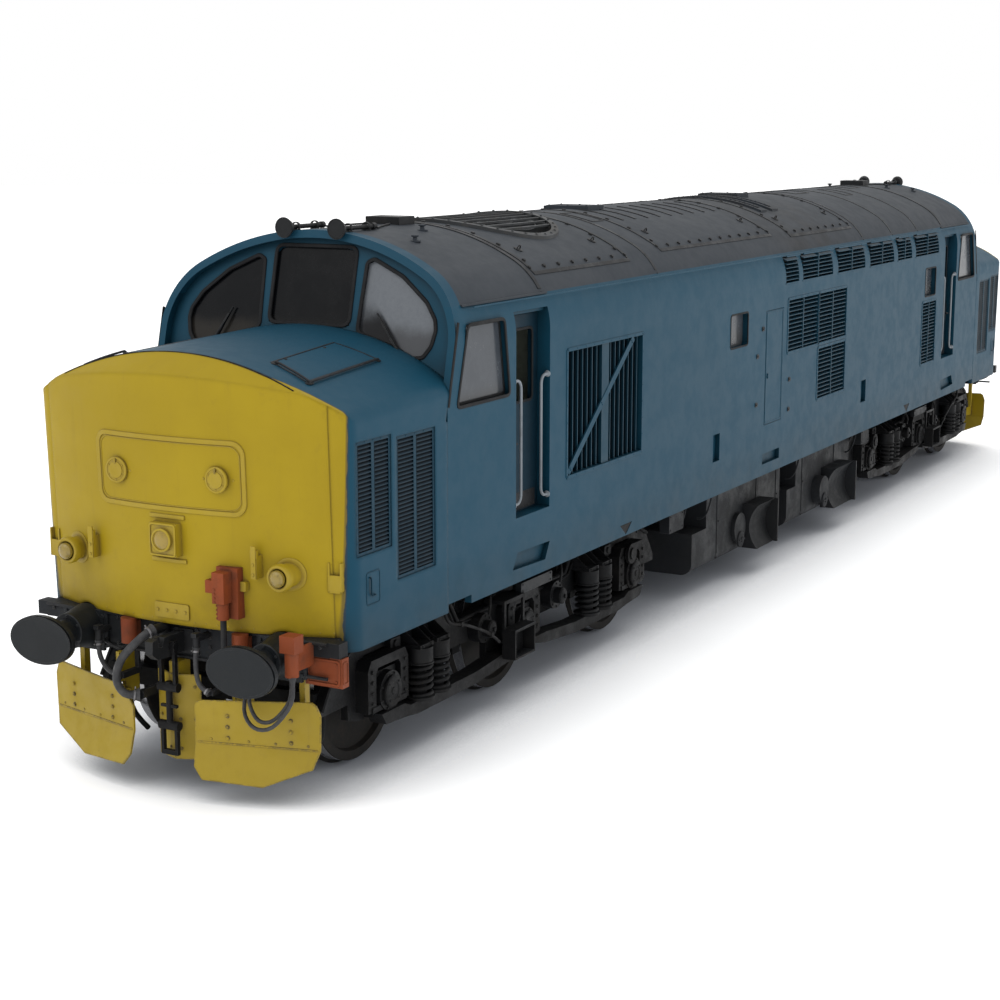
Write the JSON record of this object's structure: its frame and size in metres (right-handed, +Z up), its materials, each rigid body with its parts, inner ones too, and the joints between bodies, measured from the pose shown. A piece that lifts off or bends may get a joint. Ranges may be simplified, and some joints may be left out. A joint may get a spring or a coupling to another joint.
{
  "type": "diesel-electric locomotive",
  "caption": "Double-ended diesel-electric locomotive with a nose at each end, two six-wheel bogies, oval buffers, screw couplings and miniature snowploughs.",
  "frame": {"origin": "middle of the locomotive's length and width, at the lowest point of the wheel flanges, 30 mm below rail level", "axes": "+X along the locomotive towards the end with the radiator fan, +Y to its left side, +Z up"},
  "size_m": [18.745, 2.706, 3.9879],
  "materials": {
    "body_blue": "faded satin paint with road dirt",
    "grille_blue": "faded satin paint",
    "roof_grey": "matt weathered paint",
    "nose_yellow": "satin paint with grime and chips",
    "glass": "dark glass with wiper sweeps",
    "fan_steel": "dark weathered metal",
    "engine_grey": "oily grey paint",
    "cab_interior": "worn satin paint",
    "seat_cloth": "worn seat cloth",
    "underframe_black": "oily dusty black",
    "bogie_black": "oily brake-dusted black",
    "buffer_grey": "greased dark steel",
    "orange": "dull orange paint",
    "handrail_grey": "worn light grey paint",
    "wheel_steel": "rusty rim with polished tread",
    "hose_rubber": "dusty rubber"
  },
  "bodies": {
    "body": {"underframe": "underframe_black", "left_body_side": "body_blue", "right_body_side": "body_blue", "main_roof": "roof_grey", "cab_roofs": "roof_grey", "cab_fronts": "body_blue", "noses": "nose_yellow", "window_glass": "glass", "body_grilles": "grille_blue", "nose_grilles": "grille_blue", "fan_grille": "fan_steel", "engine_block": "engine_grey", "cab_desks": "cab_interior", "cab_seats": "seat_cloth", "cab_bulkheads": "cab_interior", "underslung_tanks": "underframe_black", "tank_saddles": "underframe_black", "buffers": "buffer_grey", "snowploughs": "nose_yellow", "draw_hooks": "underframe_black", "jumper_sockets": "orange", "pipe_cocks": "underframe_black", "horns": "underframe_black", "end_lights": "nose_yellow", "roof_fittings": "roof_grey", "handrails": "handrail_grey", "front_vacuum_hose": "hose_rubber", "front_left_air_hose": "hose_rubber", "front_right_air_hose": "hose_rubber", "front_jumper_cable_1": "hose_rubber", "front_jumper_cable_2": "hose_rubber", "rear_vacuum_hose": "hose_rubber", "rear_left_air_hose": "hose_rubber", "rear_right_air_hose": "hose_rubber", "rear_jumper_cable_1": "hose_rubber", "rear_jumper_cable_2": "hose_rubber"},
    "fan_rotor": {"radiator_fan": "fan_steel"},
    "front_screw_coupling": {"front_coupling": "underframe_black"},
    "rear_screw_coupling": {"rear_coupling": "underframe_black"},
    "front_left_cab_door": {"front_left_cab_door": "body_blue"},
    "front_right_cab_door": {"front_right_cab_door": "body_blue"},
    "rear_left_cab_door": {"rear_left_cab_door": "body_blue"},
    "rear_right_cab_door": {"rear_right_cab_door": "body_blue"},
    "left_side_door": {"left_side_door": "body_blue"},
    "right_side_door": {"right_side_door": "body_blue"},
    "front_bogie": {"front_bogie_frame": "bogie_black", "front_bogie_suspension": "bogie_black", "front_bogie_brakes": "bogie_black", "front_traction_motors": "bogie_black"},
    "rear_bogie": {"rear_bogie_frame": "bogie_black", "rear_bogie_suspension": "bogie_black", "rear_bogie_brakes": "bogie_black", "rear_traction_motors": "bogie_black"},
    "front_wheelset_1": {"front_wheelset_1": "wheel_steel"},
    "front_wheelset_2": {"front_wheelset_2": "wheel_steel"},
    "front_wheelset_3": {"front_wheelset_3": "wheel_steel"},
    "rear_wheelset_1": {"rear_wheelset_1": "wheel_steel"},
    "rear_wheelset_2": {"rear_wheelset_2": "wheel_steel"},
    "rear_wheelset_3": {"rear_wheelset_3": "wheel_steel"}
  },
  "joints": [
    {"name": "front_bogie_pivot", "type": "hinge", "parent": "body", "child": "front_bogie", "pos_m": [5.7, 0, 1.13], "axis": [0, 0, 1], "range_deg": [-4, 4]},
    {"name": "front_wheelset_1_spin", "type": "hinge", "parent": "front_bogie", "child": "front_wheelset_1", "pos_m": [7.85, 0, 0.6015], "axis": [0, 1, 0], "continuous": true},
    {"name": "front_wheelset_2_spin", "type": "hinge", "parent": "front_bogie", "child": "front_wheelset_2", "pos_m": [5.7, 0, 0.6015], "axis": [0, 1, 0], "continuous": true},
    {"name": "front_wheelset_3_spin", "type": "hinge", "parent": "front_bogie", "child": "front_wheelset_3", "pos_m": [3.55, 0, 0.6015], "axis": [0, 1, 0], "continuous": true},
    {"name": "front_coupling_swing", "type": "hinge", "parent": "body", "child": "front_screw_coupling", "pos_m": [9.03, 0, 1.084], "axis": [0, -1, 0], "range_deg": [0, 85]},
    {"name": "front_left_cab_door_hinge", "type": "hinge", "parent": "body", "child": "front_left_cab_door", "pos_m": [5.767, 1.2, 2.43], "axis": [0, 0, -1], "range_deg": [0, 85]},
    {"name": "front_right_cab_door_hinge", "type": "hinge", "parent": "body", "child": "front_right_cab_door", "pos_m": [5.767, -1.2, 2.43], "axis": [0, 0, 1], "range_deg": [0, 85]},
    {"name": "rear_bogie_pivot", "type": "hinge", "parent": "body", "child": "rear_bogie", "pos_m": [-5.7, 0, 1.13], "axis": [0, 0, 1], "range_deg": [-4, 4]},
    {"name": "rear_wheelset_1_spin", "type": "hinge", "parent": "rear_bogie", "child": "rear_wheelset_1", "pos_m": [-3.55, 0, 0.6015], "axis": [0, 1, 0], "continuous": true},
    {"name": "rear_wheelset_2_spin", "type": "hinge", "parent": "rear_bogie", "child": "rear_wheelset_2", "pos_m": [-5.7, 0, 0.6015], "axis": [0, 1, 0], "continuous": true},
    {"name": "rear_wheelset_3_spin", "type": "hinge", "parent": "rear_bogie", "child": "rear_wheelset_3", "pos_m": [-7.85, 0, 0.6015], "axis": [0, 1, 0], "continuous": true},
    {"name": "rear_coupling_swing", "type": "hinge", "parent": "body", "child": "rear_screw_coupling", "pos_m": [-9.03, 0, 1.084], "axis": [0, 1, 0], "range_deg": [0, 85]},
    {"name": "rear_left_cab_door_hinge", "type": "hinge", "parent": "body", "child": "rear_left_cab_door", "pos_m": [-5.767, 1.2, 2.43], "axis": [0, 0, 1], "range_deg": [0, 85]},
    {"name": "rear_right_cab_door_hinge", "type": "hinge", "parent": "body", "child": "rear_right_cab_door", "pos_m": [-5.767, -1.2, 2.43], "axis": [0, 0, -1], "range_deg": [0, 85]},
    {"name": "left_side_door_hinge", "type": "hinge", "parent": "body", "child": "left_side_door", "pos_m": [0.368, 1.298, 2.23], "axis": [0, 0, -1], "range_deg": [0, 85]},
    {"name": "right_side_door_hinge", "type": "hinge", "parent": "body", "child": "right_side_door", "pos_m": [0.368, -1.298, 2.23], "axis": [0, 0, 1], "range_deg": [0, 85]},
    {"name": "radiator_fan_spin", "type": "hinge", "parent": "body", "child": "fan_rotor", "pos_m": [4.75, 0, 3.63], "axis": [0, 0, 1], "continuous": true}
  ]
}
